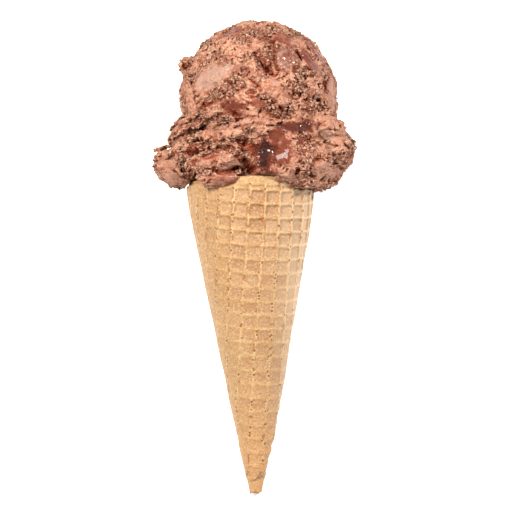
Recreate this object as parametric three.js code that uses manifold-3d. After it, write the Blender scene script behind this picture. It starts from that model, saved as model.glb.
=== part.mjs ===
// A scoop of chocolate ice cream on a rolled wafer cone, lying on its side. Lengths are in millimetres.
//
// Both pieces are made upright: +Z runs from the cone's tip to the scoop, -Y is the front and +X the
// right. An angle round the cone is measured from the front and grows towards the right. The last group
// lays them down with the front up, resting on the cone's tip and on a flat spot at the scoop's back.
import * as THREE from "three";
import { mergeVertices } from "three/addons/utils/BufferGeometryUtils.js";
import { ImprovedNoise } from "three/addons/math/ImprovedNoise.js";
import Module from "manifold-3d";

const wasm = await Module();
wasm.setup();

const { clamp, degToRad, smoothstep } = THREE.MathUtils;
const FULL_TURN = 2 * Math.PI;

// ---- Wafer cone: sizes -------------------------------------------------------------------------------

const CONE_LENGTH = 118; // from the broken tip to the rim
const TAPER = 0.1935; // radius gained for each millimetre of height
const APEX_DEPTH = 13.3; // how far below the broken tip the cone's sides would meet
const WALL = 2.2;
const LIP_START = 98; // above this height the cone flares a little less
const LIP_TUCK = 1.0;
const RIM_CHAMFER = 0.4;
const TIP_CHAMFER = 0.5;
const STUB_LENGTH = 5; // the inner wrap's tip stands out this far below the outer wrap
const STUB_INSET = 0.5;
const STUB_STEP = 0.6; // height over which the stub meets the outer wrap
const CAVITY_FLOOR = 9; // height of the bottom of the hollow

// The wafer is a flat sheet rolled into a cone, and its outer edge is a straight cut that misses the
// apex by SEAM_MISS, so the seam runs nearly straight down and then turns round the tip.
const SEAM_MISS = 7;
const SEAM_TIP_TURN = degToRad(30); // where the seam stands at the slant distance SEAM_TIP_SLANT
const SEAM_TIP_SLANT = 18.6;
const LAP_STEP = 0.9; // height of the step at the seam
const LAP_TURN = degToRad(130); // the step fades away over this angle
const STEP_TURN = degToRad(4); // width of the step in the plain core

// The square pattern that the baking plates press into the flat sheet.
const PITCH_AROUND = 6.0;
const PITCH_ALONG = 5.49;
const RIB_WIDTH = 1.3;
const POCKET_DEPTH = 0.85;
const POCKET_BEVEL = 0.35;
const SMALLEST_POCKET = 1.6;
const PATTERN_SKEW = degToRad(5.5); // the pattern is turned by this much from the front of the cone
const PATTERN_OFFSET_AROUND = -0.5;
const PATTERN_OFFSET_ALONG = 4.5;
const PLAIN_RIM = 2.6; // border without pockets, along the slant
const PRINT_START = 52; // slant distance where the print begins; nearer the apex the sheet is plain
const PRINT_FULL = 80; // slant distance from which the print has its full depth
const FAINTEST_PRINT = 0.4; // share of the full depth where the print begins

// The printed sheet forms the outer part of the wafer, and a plain rolled core carries it.
const SHEET_THICKNESS = 1.6;
const SHEET_TAIL = 4; // the sheet goes on this far below the print, under the core's surface
const SHEET_RIM_DROP = 0.5; // the sheet ends this far below the core's rim
const LOW_EDGE_TURN = degToRad(-75); // here the outer wrap's edge sits lower, and the inner one shows
const LOW_EDGE_DROP = 1.5;
const LOW_EDGE_WIDTH = degToRad(38);
const EDGE_WAVE = 0.15; // unevenness of the sheet's cut edges
const EDGE_GAP = degToRad(0.6); // between the sheet's two cut edges
const EDGE_STEPS = 14;
const ARC_STEPS = 32;
const CORE_INSET = 1.35; // how far the core's surface lies under the print
const CORE_PROUD = 0.08; // how far it covers the sheet's tail
const CORE_RAMP = 1.5; // half the slant distance between the two
const CONE_COLUMNS = 32;
const ROW_GROWTH = 1.5; // the rows get further apart as the cone widens
const UPPER_ROWS = [50, 70, 90, 105];

// ---- Ice cream: sizes --------------------------------------------------------------------------------

const GAP = 0.3; // left between the ice cream and the wafer
const PLUG_DEPTH = 15; // how far the ice cream fills the cone's mouth
const PLUG_DOME = 3; // height of the rounded bottom of that filling
const CRAG_SIZE = 9;
const CRAG_HEIGHT = 2.4;
const GRAIN_SIZE = 4.3;
const GRAIN_HEIGHT = 1.3;

// Each lump is an ellipsoid: its centre, its three radii, and its tilt in degrees about X, Y and Z.
const LUMPS = {
  ball: { at: [4, 0, 149.4], size: [29, 28.6, 29.2], detail: 9 },
  collar: { at: [2, 0, 131], size: [30.5, 28.5, 13.5], detail: 4 },
  strip_right: { at: [26.6, -4, 145], size: [6.2, 12, 12.5], tilt: [0, -4, 0], detail: 3 },
  // The left side, from the curled lobe at the rim up to the leaves against the ball.
  lobe_left: { at: [-27.6, -5, 123.4], size: [9, 11, 6.6], tilt: [0, 22, 0], detail: 3 },
  knob_left: { at: [-32, -5, 127.6], size: [4.4, 5, 3.8], detail: 2 },
  leaf_left: { at: [-19.2, -8, 137.2], size: [12, 14, 6.4], tilt: [-8, -28, 0], detail: 3 },
  leaf_left_low: { at: [-19, -17, 130], size: [10.5, 9, 3.8], tilt: [10, -18, 20], detail: 3 },
  // The front, where long tongues lie over each other.
  tongue_front: { at: [-10.5, -21.5, 124.6], size: [13, 7.5, 4.6], tilt: [6, -9, 0], detail: 4 },
  tongue_low: { at: [-11.5, -20.4, 119.6], size: [8.5, 5.6, 3.2], tilt: [0, 4, 0], detail: 3 },
  drip_front: { at: [4.5, -21, 124.6], size: [8, 6.8, 7.6], tilt: [0, 20, 0], detail: 3 },
  fold_upper: { at: [-3, -20, 139.4], size: [14.5, 9.5, 4], tilt: [-6, 4, 0], detail: 4 },
  fold_lower: { at: [-1, -22, 133.6], size: [15, 9, 3.9], tilt: [0, -9, 0], detail: 4 },
  // The right side: one broad lump on the rim and a smooth leaf above it.
  lobe_front_right: { at: [17.5, -16, 124.8], size: [13.5, 12.5, 9.2], tilt: [0, 4, 0], detail: 4 },
  lobe_right: { at: [30.6, -4, 128.4], size: [9.6, 14, 9], tilt: [0, -40, 0], detail: 4 },
  knob_right: { at: [27, -8, 119.8], size: [7.4, 8, 5.6], tilt: [0, -12, 0], detail: 3 },
  leaf_right: { at: [27, -8, 137], size: [10.6, 13, 5.6], tilt: [0, 22, 0], detail: 3 },
  // The back, which carries the scoop when the cone lies down.
  lobe_back_left: { at: [-15.5, 15, 127.5], size: [16, 14, 9.6], tilt: [0, 8, 0], detail: 3 },
  lobe_back_right: { at: [19, 14.5, 127], size: [16, 14.5, 10], tilt: [0, -8, 0], detail: 3 },
  lobe_back: { at: [2.5, 17.5, 133.5], size: [20, 18.6, 13], detail: 3 },
  // Crumbs that stick out of the ball.
  crumb_left: { at: [-22.8, -3, 162.4], size: [3, 3.2, 3.2], detail: 1 },
  crumb_top: { at: [-14.6, -3, 169.6], size: [2.8, 3, 2.6], detail: 1 },
};

// ---- Lying down --------------------------------------------------------------------------------------

const LYING_TILT = degToRad(13.2); // between the cone's axis and the table
const TABLE_POINT = new THREE.Vector3(0, 3.5, STUB_LENGTH); // where the back of the tip meets the table

// ---- Helpers -----------------------------------------------------------------------------------------

const noise = new ImprovedNoise();

/** A point at a height, a distance from the axis and an angle round it. */
const around = (turn, radius, z) =>
  new THREE.Vector3(radius * Math.sin(turn), -radius * Math.cos(turn), z);

/** A list made by calling make(0), make(1) and so on. */
const repeat = (count, make) => Array.from({ length: count }, (_, i) => make(i));

/** A closed geometry as a manifold solid. */
function toSolid(geometry) {
  const bare = geometry.clone();
  bare.deleteAttribute("normal");
  bare.deleteAttribute("uv");
  const merged = mergeVertices(bare, 1e-4);
  const mesh = new wasm.Mesh({
    numProp: 3,
    vertProperties: merged.getAttribute("position").array,
    triVerts: new Uint32Array(merged.index.array),
  });
  return new wasm.Manifold(mesh);
}

/** A manifold solid as a geometry whose faces share their vertices. */
function toGeometry(solid) {
  const mesh = solid.getMesh();
  return new THREE.BufferGeometry()
    .setAttribute("position", new THREE.BufferAttribute(new Float32Array(mesh.vertProperties), 3))
    .setIndex(new THREE.BufferAttribute(new Uint32Array(mesh.triVerts), 1));
}

/** Moves every vertex of a geometry to where place(vertex) puts it. */
function reshape(geometry, place) {
  const position = geometry.getAttribute("position");
  const vertex = new THREE.Vector3();
  for (let i = 0; i < position.count; i++) {
    vertex.fromBufferAttribute(position, i);
    position.setXYZ(i, ...place(vertex).toArray());
  }
  return geometry;
}

/** The largest body of a solid, so that a loose scrap from a cut is dropped. */
const largestBody = (solid) => solid.decompose().reduce((a, b) => (a.volume() > b.volume() ? a : b));

/** A skin of points and faces, collected one by one. */
class Skin {
  points = [];
  faces = [];

  point(p) {
    return this.points.push(p) - 1;
  }

  quad(a, b, c, d) {
    this.faces.push(a, b, c, a, c, d);
  }

  /** A fan of triangles from a ring's middle to its edge. */
  cap(ring) {
    const sum = ring.reduce((total, i) => total.add(this.points[i]), new THREE.Vector3());
    const middle = this.point(sum.divideScalar(ring.length));
    ring.forEach((corner, i) => this.faces.push(middle, corner, ring[(i + 1) % ring.length]));
  }

  toSolid() {
    return toSolid(new THREE.BufferGeometry().setFromPoints(this.points).setIndex(this.faces));
  }
}

/** A solid whose skin runs through a stack of rings of points, with its ends closed. */
function solidFromRings(rings) {
  const skin = new Skin();
  const rows = rings.map((ring) => ring.map((p) => skin.point(p)));
  for (let k = 0; k + 1 < rows.length; k++) {
    const [low, high] = [rows[k], rows[k + 1]];
    low.forEach((corner, i) => {
      const next = (i + 1) % low.length;
      skin.quad(corner, low[next], high[next], high[i]);
    });
  }
  skin.cap(rows[0].toReversed());
  skin.cap(rows.at(-1));
  return skin.toSolid();
}

// ---- Wafer cone: the rolled core ---------------------------------------------------------------------

const HALF_ANGLE = Math.atan(TAPER);
const SIN_HALF = Math.sin(HALF_ANGLE);
const COS_HALF = Math.cos(HALF_ANGLE);

const slantAt = (z) => (z + APEX_DEPTH) / COS_HALF;
const heightAt = (slant) => slant * COS_HALF - APEX_DEPTH;

/** Outer radius of the wafer, before the lap is added. */
function coneRadius(z) {
  const lip = clamp((z - LIP_START) / (CONE_LENGTH - LIP_START), 0, 1);
  const inset = STUB_INSET * (1 - smoothstep(z, STUB_LENGTH, STUB_LENGTH + STUB_STEP));
  return (z + APEX_DEPTH) * TAPER - LIP_TUCK * lip * lip - inset;
}

/** Angle round the cone of the outer wrap's edge, at a slant distance from the apex. */
function seamTurn(slant) {
  const turned = Math.acos(SEAM_MISS / slant) - Math.acos(SEAM_MISS / SEAM_TIP_SLANT);
  return SEAM_TIP_TURN + turned / SIN_HALF;
}

/** How far the outer wrap stands out, at an angle measured back from the seam. */
const lapHeight = (beforeSeam) => LAP_STEP * (1 - smoothstep(beforeSeam, 0, LAP_TURN));

/** How far the core's surface lies below the finished surface at a height. */
function coreInset(z) {
  const share = smoothstep(slantAt(z), PRINT_START - CORE_RAMP, PRINT_START + CORE_RAMP);
  return CORE_INSET * share - CORE_PROUD;
}

/** One ring of the wafer's outer face, which follows the seam. */
function outerRing(z, inset) {
  const seam = seamTurn(slantAt(z));
  const columnTurn = (FULL_TURN - STEP_TURN) / (CONE_COLUMNS - 1);
  return repeat(CONE_COLUMNS, (i) => {
    const beforeSeam = i * columnTurn;
    return around(seam - beforeSeam, coneRadius(z) - inset + lapHeight(beforeSeam), z);
  }).reverse();
}

/** One ring of the wafer's inner face, which is round. */
function innerRing(z, inset) {
  const seam = seamTurn(slantAt(CONE_LENGTH));
  const columnTurn = FULL_TURN / CONE_COLUMNS;
  return repeat(CONE_COLUMNS, (i) => around(seam - i * columnTurn, coneRadius(z) - inset, z)).reverse();
}

/** The rolled wafer without its print. Its outer face can be set in, or the whole shell grown. */
function waferShell({ insetAt = () => 0, grow = 0 }) {
  const inner = WALL + grow;
  const rim = CONE_LENGTH + grow;
  const rampStart = heightAt(PRINT_START - CORE_RAMP);
  const rampEnd = heightAt(PRINT_START + CORE_RAMP);
  const rows = [TIP_CHAMFER, STUB_LENGTH];
  for (let z = STUB_LENGTH + STUB_STEP; z < rampStart - 2; z *= ROW_GROWTH) rows.push(z);
  rows.push(rampStart, rampEnd, ...UPPER_ROWS, rim - RIM_CHAMFER);
  return solidFromRings([
    outerRing(-grow, TIP_CHAMFER - grow),
    ...rows.map((z) => outerRing(z, insetAt(z) - grow)),
    outerRing(rim, insetAt(rim) + RIM_CHAMFER - grow),
    innerRing(rim, inner - RIM_CHAMFER),
    ...[rim - RIM_CHAMFER, LIP_START, CAVITY_FLOOR].map((z) => innerRing(z, inner)),
  ]);
}

// ---- Wafer cone: the printed sheet -------------------------------------------------------------------
//
// A point of the flat sheet is (p, q), with the apex at the origin and q growing towards the rim. Its
// distance from the apex is the slant distance, and its direction becomes a turn round the cone.

/** Where a point of the flat sheet lies on the rolled cone, at a height above its face. */
function rollSheet({ x: p, y: q, z: height }) {
  const slant = Math.hypot(p, q);
  const turn = (Math.atan2(p, q) + PATTERN_SKEW) / SIN_HALF;
  const z = heightAt(slant);
  const radius = coneRadius(z) + lapHeight(seamTurn(slant) - turn);
  return around(turn, radius + height * COS_HALF, z - height * SIN_HALF);
}

/** The point of the flat sheet that is rolled to a turn and a slant distance. */
function unrolled(turn, slant) {
  const direction = turn * SIN_HALF - PATTERN_SKEW;
  return new THREE.Vector2(slant * Math.sin(direction), slant * Math.cos(direction));
}

const LONGEST_PRINT = slantAt(CONE_LENGTH) - PLAIN_RIM;

/** The lattice line number k along one side of the pattern: each pocket has a first and a last line. */
function latticeLine(k, offset, pitch) {
  const cell = Math.floor(k / 2) - Math.ceil(LONGEST_PRINT / PITCH_ALONG);
  const inCell = k % 2 === 0 ? RIB_WIDTH / 2 : pitch - RIB_WIDTH / 2;
  return offset + cell * pitch + inCell;
}

/** The corner of a pocket's mouth on lines i and j, pulled back where it would cross the plain rim. */
function latticeCorner(i, j) {
  const p = latticeLine(i, PATTERN_OFFSET_AROUND, PITCH_AROUND);
  const corner = new THREE.Vector3(p, latticeLine(j, PATTERN_OFFSET_ALONG, PITCH_ALONG), 0);
  const below = Math.hypot(p, latticeLine(j - 1, PATTERN_OFFSET_ALONG, PITCH_ALONG));
  const isFarSide = j % 2 === 1 && below < LONGEST_PRINT - SMALLEST_POCKET;
  return isFarSide ? corner.clampLength(0, LONGEST_PRINT) : corner;
}

/** Depth of the pocket that has these mouth corners, or 0 where the sheet has no print. */
function printDepth(corners) {
  const isInside = corners.every((corner) => corner.length() < LONGEST_PRINT + 1e-6);
  const nearest = Math.min(...corners.map((corner) => corner.length()));
  if (!isInside || nearest < PRINT_START) return 0;
  const share = smoothstep(nearest, PRINT_START, PRINT_FULL);
  return POCKET_DEPTH * (FAINTEST_PRINT + (1 - FAINTEST_PRINT) * share);
}

/** A pocket between four mouth corners: a smaller floor and four slanting sides. */
function addPocket(skin, mouth, depth) {
  const corners = mouth.map((i) => skin.points[i]);
  const middle = new THREE.Vector3().add(corners[0]).add(corners[2]).divideScalar(2);
  const floor = corners.map((corner) => {
    const towards = middle.clone().sub(corner);
    const step = new THREE.Vector3(Math.sign(towards.x), Math.sign(towards.y), 0);
    return skin.point(step.multiplyScalar(POCKET_BEVEL).add(corner).setZ(-depth));
  });
  skin.quad(...floor);
  for (let k = 0; k < 4; k++) {
    const next = (k + 1) % 4;
    skin.quad(mouth[k], mouth[next], floor[next], floor[k]);
  }
}

/** A flat slab larger than the sheet, made of faces small enough to be rolled, with the pockets in it. */
function printedSlab() {
  const skin = new Skin();
  const last = 4 * Math.ceil(LONGEST_PRINT / PITCH_ALONG) - 1;
  const corners = repeat(last + 1, (i) => repeat(last + 1, (j) => latticeCorner(i, j)));
  const top = corners.map((line) => line.map((corner) => skin.point(corner)));
  const bottom = corners.map((line) =>
    line.map((corner) => skin.point(corner.clone().setZ(-SHEET_THICKNESS))),
  );
  for (let i = 0; i < last; i++) {
    for (let j = 0; j < last; j++) {
      const places = [[i, j], [i + 1, j], [i + 1, j + 1], [i, j + 1]];
      const mouth = places.map(([a, b]) => top[a][b]);
      const isPocket = i % 2 === 0 && j % 2 === 0;
      const depth = isPocket ? printDepth(places.map(([a, b]) => corners[a][b])) : 0;
      if (depth > 0) addPocket(skin, mouth, depth);
      else skin.quad(...mouth);
      skin.quad(...places.map(([a, b]) => bottom[a][b]).reverse());
    }
  }
  for (let k = 0; k < last; k++) {
    skin.quad(bottom[k][0], bottom[k + 1][0], top[k + 1][0], top[k][0]);
    skin.quad(bottom[last][k], bottom[last][k + 1], top[last][k + 1], top[last][k]);
    skin.quad(bottom[k + 1][last], bottom[k][last], top[k][last], top[k + 1][last]);
    skin.quad(bottom[0][k + 1], bottom[0][k], top[0][k], top[0][k + 1]);
  }
  return skin.toSolid();
}

/** The outline that the sheet is cut to, as a prism through the slab. */
function sheetPrism() {
  const nearest = PRINT_START - SHEET_TAIL;
  const farthest = slantAt(CONE_LENGTH) - SHEET_RIM_DROP;
  const wholeTurn = FULL_TURN - EDGE_GAP;
  const cutEdge = (beforeSeam) =>
    repeat(EDGE_STEPS, (i) => {
      const slant = nearest + ((farthest - nearest) * (i + 0.5)) / EDGE_STEPS;
      const wave = EDGE_WAVE * (i % 2 === 0 ? 1 : -1);
      return unrolled(seamTurn(slant) - beforeSeam + wave / (slant * SIN_HALF), slant);
    });
  const arc = (slant, dropAt) =>
    repeat(ARC_STEPS + 1, (i) => {
      const turn = seamTurn(slant) - (wholeTurn * i) / ARC_STEPS;
      return unrolled(turn, slant - dropAt(turn));
    });
  const rimDrop = (turn) => LOW_EDGE_DROP * Math.exp(-(((turn - LOW_EDGE_TURN) / LOW_EDGE_WIDTH) ** 2));
  const outline = new THREE.Shape([
    ...cutEdge(0),
    ...arc(farthest, rimDrop),
    ...cutEdge(wholeTurn).reverse(),
    ...arc(nearest, () => 0).reverse(),
  ]);
  const depth = 4 * SHEET_THICKNESS;
  const prism = new THREE.ExtrudeGeometry(outline, { depth, bevelEnabled: false });
  return toSolid(prism.translate(0, 0, -depth / 2));
}

/** The whole wafer: the printed sheet rolled round the plain core. */
function wafer() {
  const flatSheet = toGeometry(printedSlab().intersect(sheetPrism()));
  return toSolid(reshape(flatSheet, rollSheet)).add(waferShell({ insetAt: coreInset }));
}

// ---- Ice cream ---------------------------------------------------------------------------------------

/** Height of the torn surface at a point: broad crags with finer grains on them. */
function tornRelief(point) {
  const at = (size) => noise.noise(point.x / size, point.y / size, point.z / size);
  return CRAG_HEIGHT * at(CRAG_SIZE) + GRAIN_HEIGHT * (0.25 - Math.abs(at(GRAIN_SIZE)));
}

/** One lump of ice cream: an ellipsoid whose surface is torn. */
function lump({ at, size, tilt = [0, 0, 0], detail }) {
  const centre = new THREE.Vector3(...at);
  const radii = new THREE.Vector3(...size);
  const turn = new THREE.Quaternion().setFromEuler(new THREE.Euler(...tilt.map(degToRad)));
  const surface = reshape(new THREE.IcosahedronGeometry(1, detail), (direction) => {
    const outward = direction.clone().divide(radii).normalize().applyQuaternion(turn);
    const point = direction.clone().multiply(radii).applyQuaternion(turn).add(centre);
    return point.addScaledVector(outward, tornRelief(point));
  });
  return toSolid(surface);
}

/** The ice cream that is pressed into the cone's mouth. It reaches into the wafer, which cuts it. */
function plug() {
  const bottom = CONE_LENGTH - PLUG_DEPTH;
  const top = CONE_LENGTH + PLUG_DOME;
  const radius = coneRadius(CONE_LENGTH) - WALL / 2;
  const profile = [
    new THREE.Vector2(0, bottom),
    new THREE.Vector2(radius / 2, bottom + PLUG_DOME / 4),
    new THREE.Vector2(radius, bottom + PLUG_DOME),
    new THREE.Vector2(radius, top),
    new THREE.Vector2(0, top),
  ];
  return toSolid(new THREE.LatheGeometry(profile, CONE_COLUMNS).rotateX(Math.PI / 2));
}

/** The whole scoop, clear of the wafer by the gap. */
function iceCream() {
  const scoop = Object.values(LUMPS).reduce((whole, sizes) => whole.add(lump(sizes)), plug());
  return scoop.subtract(waferShell({ grow: GAP }));
}

// ---- The object --------------------------------------------------------------------------------------

/** What would lie below the table top, with the pieces still upright. */
function belowTable() {
  const side = 4 * CONE_LENGTH;
  const block = new THREE.BoxGeometry(side, side, side).translate(0, side / 2, 0).rotateX(-LYING_TILT);
  return toSolid(block.translate(...TABLE_POINT.toArray()));
}

/** A solid as a named mesh with flat faces, cut flat where it lies on the table. */
function piece(name, solid, color, roughness) {
  const geometry = toGeometry(largestBody(solid.subtract(belowTable()))).toNonIndexed();
  geometry.computeVertexNormals();
  const material = new THREE.MeshStandardMaterial({ color, roughness, metalness: 0 });
  const mesh = new THREE.Mesh(geometry, material);
  mesh.name = name;
  return mesh;
}

const upright = new THREE.Group();
upright.add(piece("wafer_cone", wafer(), 0xdcae80, 0.75));
upright.add(piece("ice_cream", iceCream(), 0xb97c60, 0.55));

// The origin is the middle of the bottom of the whole object's box.
const lying = new THREE.Group().add(upright);
upright.rotation.x = LYING_TILT - Math.PI / 2;
const extent = new THREE.Box3().setFromObject(lying, true);
const middle = extent.getCenter(new THREE.Vector3());
upright.position.set(-middle.x, -middle.y, -extent.min.z);

export default lying;
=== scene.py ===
# %% [markdown]
# # A scoop of chocolate ice cream on a rolled wafer cone
#
# The real thing is two foods. The wafer is a flat sheet, baked between engraved plates and rolled while
# it is hot. The ice cream is a torn, grainy mass with a ragged collar and glossy streaks of fudge. The
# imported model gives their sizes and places, so it is loaded first, and nothing in it is moved.

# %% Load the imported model
import math

import bpy
import numpy as np
from mathutils import Euler, Matrix, Vector, noise


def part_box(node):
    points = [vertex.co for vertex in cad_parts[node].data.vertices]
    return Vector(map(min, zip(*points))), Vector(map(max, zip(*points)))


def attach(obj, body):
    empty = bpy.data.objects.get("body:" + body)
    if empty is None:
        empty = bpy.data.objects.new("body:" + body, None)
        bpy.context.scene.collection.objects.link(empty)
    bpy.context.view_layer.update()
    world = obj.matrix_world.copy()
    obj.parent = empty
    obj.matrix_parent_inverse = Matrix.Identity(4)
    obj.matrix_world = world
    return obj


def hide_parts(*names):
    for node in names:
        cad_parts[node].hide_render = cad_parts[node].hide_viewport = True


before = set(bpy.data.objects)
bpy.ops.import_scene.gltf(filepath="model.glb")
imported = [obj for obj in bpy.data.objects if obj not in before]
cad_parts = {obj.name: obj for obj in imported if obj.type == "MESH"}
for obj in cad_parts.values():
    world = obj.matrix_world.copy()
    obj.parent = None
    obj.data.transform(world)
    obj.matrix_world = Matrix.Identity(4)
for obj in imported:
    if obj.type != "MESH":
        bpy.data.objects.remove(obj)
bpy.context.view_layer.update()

# %% [markdown]
# ## Two frames: upright and lying down
#
# A cone is easiest to think about upright: +Z runs from its tip to the scoop, -Y is the front and +X the
# right, in millimetres. The finished thing lies on a table, in metres. One matrix turns the first frame
# into the second. It is worked out from the wafer's box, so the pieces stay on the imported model.

# %% Lay the upright frame down
LYING_TILT = math.radians(13.2)  # between the cone's axis and the table
TIP_FROM_CORNER = Vector((24.185, 0.539, 2.266))  # from the low corner of the wafer's box to its tip, mm

wafer_corner = 1000 * Vector(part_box("wafer_cone")[0])
TIP_PLACE = (wafer_corner + TIP_FROM_CORNER) / 1000
LAY_TURN = Euler((LYING_TILT - math.pi / 2, 0, 0))
LAY_DOWN = Matrix.LocRotScale(TIP_PLACE, LAY_TURN, Vector((0.001, 0.001, 0.001)))
TABLE_NORMAL = Vector(LAY_DOWN[2][:3]) * 1000  # how fast a point of the upright frame rises off the table
TABLE_DROP = TIP_PLACE.z * 1000
print("tip of the cone at, mm:", [round(1000 * x, 2) for x in TIP_PLACE])

# %% [markdown]
# ## The camera
#
# It looks straight at the shown side from 600 mm away, leaning a little towards the tip, through a long
# lens. It is placed in the upright frame and then laid down with everything else.

# %% Place the camera
IMAGE_SIDE = 516  # the picture is square, this many pixels a side
MM_PER_PIXEL = 0.3806  # at the cone's axis
VIEW_DISTANCE = 600
VIEW_LEAN = math.radians(3.0)
VIEW_ROLL = math.atan(0.0199)
AIM = Vector((0, 0, 89))
AIM_SHIFT = Vector((2.59, -0.08))  # how far the picture's middle lies right of and above the aim, mm


def camera_axes():
    """Right, up and forward of the camera in the upright frame."""
    up = Vector((0, -math.sin(VIEW_LEAN), math.cos(VIEW_LEAN)))
    forward = Vector((0, math.cos(VIEW_LEAN), math.sin(VIEW_LEAN)))
    right = Vector((1, 0, 0))
    cos_roll, sin_roll = math.cos(VIEW_ROLL), math.sin(VIEW_ROLL)
    return right * cos_roll - up * sin_roll, right * sin_roll + up * cos_roll, forward


def place_camera():
    right, up, forward = camera_axes()
    eye = AIM - VIEW_DISTANCE * forward + AIM_SHIFT.x * right + AIM_SHIFT.y * up
    data = bpy.data.cameras.new("camera")
    data.lens = data.sensor_width * VIEW_DISTANCE / MM_PER_PIXEL / IMAGE_SIDE
    camera = bpy.data.objects.new("camera", data)
    bpy.context.scene.collection.objects.link(camera)
    turn = Matrix((right, up, -forward)).transposed()
    lying_turn = LAY_TURN.to_matrix() @ turn
    camera.matrix_world = Matrix.Translation(LAY_DOWN @ eye) @ lying_turn.to_4x4()
    bpy.context.scene.camera = camera
    return camera, eye


camera, EYE = place_camera()
print("lens, mm:", round(camera.data.lens, 1))

# %% [markdown]
# ## Table and light
#
# A plain pale table and soft light from large lamps. The key lamp stands at the upper right, a wide fill
# at the left keeps the shadows open, and the pale surroundings light the rest. Wide lamps give the moist
# parts of the ice cream broad, soft glints.

# %% Build the table, the lamps and the surroundings
scene = bpy.context.scene
scene.view_settings.view_transform = "Standard"

TABLE_SIDE = 4.0
TABLE_TOP = -0.0002  # a hair under the model
TABLE_GREY = 0.93
TABLE_GLOW = 0.46
SURROUNDINGS_STRENGTH = 0.36
LIGHT_TARGET = Vector((0, 0.01, 0.03))
LAMPS = {
    "key": {"at": (0.44, 0.16, 0.60), "size": 0.12, "watts": 6.1, "colour": (1.0, 0.985, 0.995)},
    "fill": {"at": (-0.22, 0.04, 0.42), "size": 0.16, "watts": 3.4, "colour": (1.0, 0.99, 0.94)},
}


def table_finish():
    material = bpy.data.materials.new("pale table")
    material.use_nodes = True
    inputs = material.node_tree.nodes["Principled BSDF"].inputs
    inputs["Base Color"].default_value = (TABLE_GREY, TABLE_GREY, TABLE_GREY, 1)
    inputs["Roughness"].default_value = 0.6
    inputs["Emission Color"].default_value = (1, 1, 1, 1)
    inputs["Emission Strength"].default_value = TABLE_GLOW
    return material


def make_table():
    half = TABLE_SIDE / 2
    mesh = bpy.data.meshes.new("table")
    corners = [(x * half, y * half, TABLE_TOP) for x, y in ((-1, -1), (1, -1), (1, 1), (-1, 1))]
    mesh.from_pydata(corners, [], [(0, 1, 2, 3)])
    mesh.materials.append(table_finish())
    table = bpy.data.objects.new("table", mesh)
    scene.collection.objects.link(table)


def make_lamp(name, at, size, watts, colour):
    data = bpy.data.lights.new(name, "AREA")
    data.shape = "DISK"
    data.size = size
    data.energy = watts
    data.color = colour
    lamp = bpy.data.objects.new(name, data)
    lamp.location = at
    lamp.rotation_euler = (LIGHT_TARGET - lamp.location).to_track_quat("-Z", "Y").to_euler()
    scene.collection.objects.link(lamp)


def make_surroundings():
    world = bpy.data.worlds.new("surroundings")
    world.use_nodes = True
    background = world.node_tree.nodes["Background"]
    background.inputs["Color"].default_value = (1, 1, 1, 1)
    background.inputs["Strength"].default_value = SURROUNDINGS_STRENGTH
    scene.world = world


make_table()
for lamp_name, sizes in LAMPS.items():
    make_lamp(lamp_name, **sizes)
make_surroundings()
print("lamps:", ", ".join(LAMPS))

# %% [markdown]
# ## Working with nodes
#
# Both the shapes and the finishes are built from nodes. A long formula is hard to read as a list of nodes
# and links, so a small class lets an output of a node be added, multiplied and compared like a number.


# %% Helpers for node trees
class Wire:
    """An output of a node, which can be worked with like a number or a vector."""

    def __init__(self, tree, socket):
        self.tree = tree
        self.socket = socket

    @property
    def is_vector(self):
        return self.socket.type in ("VECTOR", "RGBA")

    def math(self, operation, *others):
        return wire(self.tree, "ShaderNodeMath", (self, *others), operation=operation)

    def vector(self, operation, *others):
        key = 1 if operation in ("LENGTH", "DOT_PRODUCT") else 0
        return wire(self.tree, "ShaderNodeVectorMath", (self, *others), key, operation=operation)

    def __add__(self, other):
        return self.vector("ADD", other) if self.is_vector else self.math("ADD", other)

    def __sub__(self, other):
        return self.vector("SUBTRACT", other) if self.is_vector else self.math("SUBTRACT", other)

    def __mul__(self, other):
        if not self.is_vector:
            return self.math("MULTIPLY", other)
        if isinstance(other, Wire) and other.is_vector or isinstance(other, tuple):
            return self.vector("MULTIPLY", other)
        return wire(self.tree, "ShaderNodeVectorMath", {0: self, 3: other}, operation="SCALE")

    def __truediv__(self, other):
        return self.vector("DIVIDE", other) if self.is_vector else self.math("DIVIDE", other)

    def least(self, other):
        return self.math("MINIMUM", other)

    def most(self, other):
        return self.math("MAXIMUM", other)

    def flipped(self):
        """One minus this value."""
        return wire(self.tree, "ShaderNodeMath", (1.0, self), operation="SUBTRACT")

    def ramp(self, start, end, low=0.0, high=1.0):
        """A smooth step from low, where this value is start, to high, where it is end."""
        values = {"Value": self, "From Min": start, "From Max": end, "To Min": low, "To Max": high}
        return wire(self.tree, "ShaderNodeMapRange", values, interpolation_type="SMOOTHSTEP")


def set_inputs(node, values):
    """Sets inputs of a node to plain values, or joins them to wires."""
    for key, value in (values if isinstance(values, dict) else dict(enumerate(values))).items():
        if isinstance(value, Wire):
            node.id_data.links.new(value.socket, node.inputs[key])
        else:
            node.inputs[key].default_value = value


def add_node(tree, kind, values=(), **settings):
    """A new node with its settings and its inputs."""
    made = tree.nodes.new(kind)
    for name, value in settings.items():
        setattr(made, name, value)
    set_inputs(made, values)
    return made


def output(made, key=0):
    return Wire(made.id_data, made.outputs[key])


def wire(tree, kind, values=(), key=0, **settings):
    """The output of a new node."""
    return output(add_node(tree, kind, values, **settings), key)


def split(vector):
    """The three parts of a vector."""
    made = add_node(vector.tree, "ShaderNodeSeparateXYZ", (vector,))
    return [output(made, k) for k in range(3)]


def clouds(at, size, detail=2.0, rough=0.5, distortion=0.0):
    """Cloudy noise from 0 to 1, whose blobs are about as wide as size."""
    values = {"Vector": at, "Scale": 1 / size, "Detail": detail, "Roughness": rough}
    return wire(at.tree, "ShaderNodeTexNoise", {**values, "Distortion": distortion})


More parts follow.
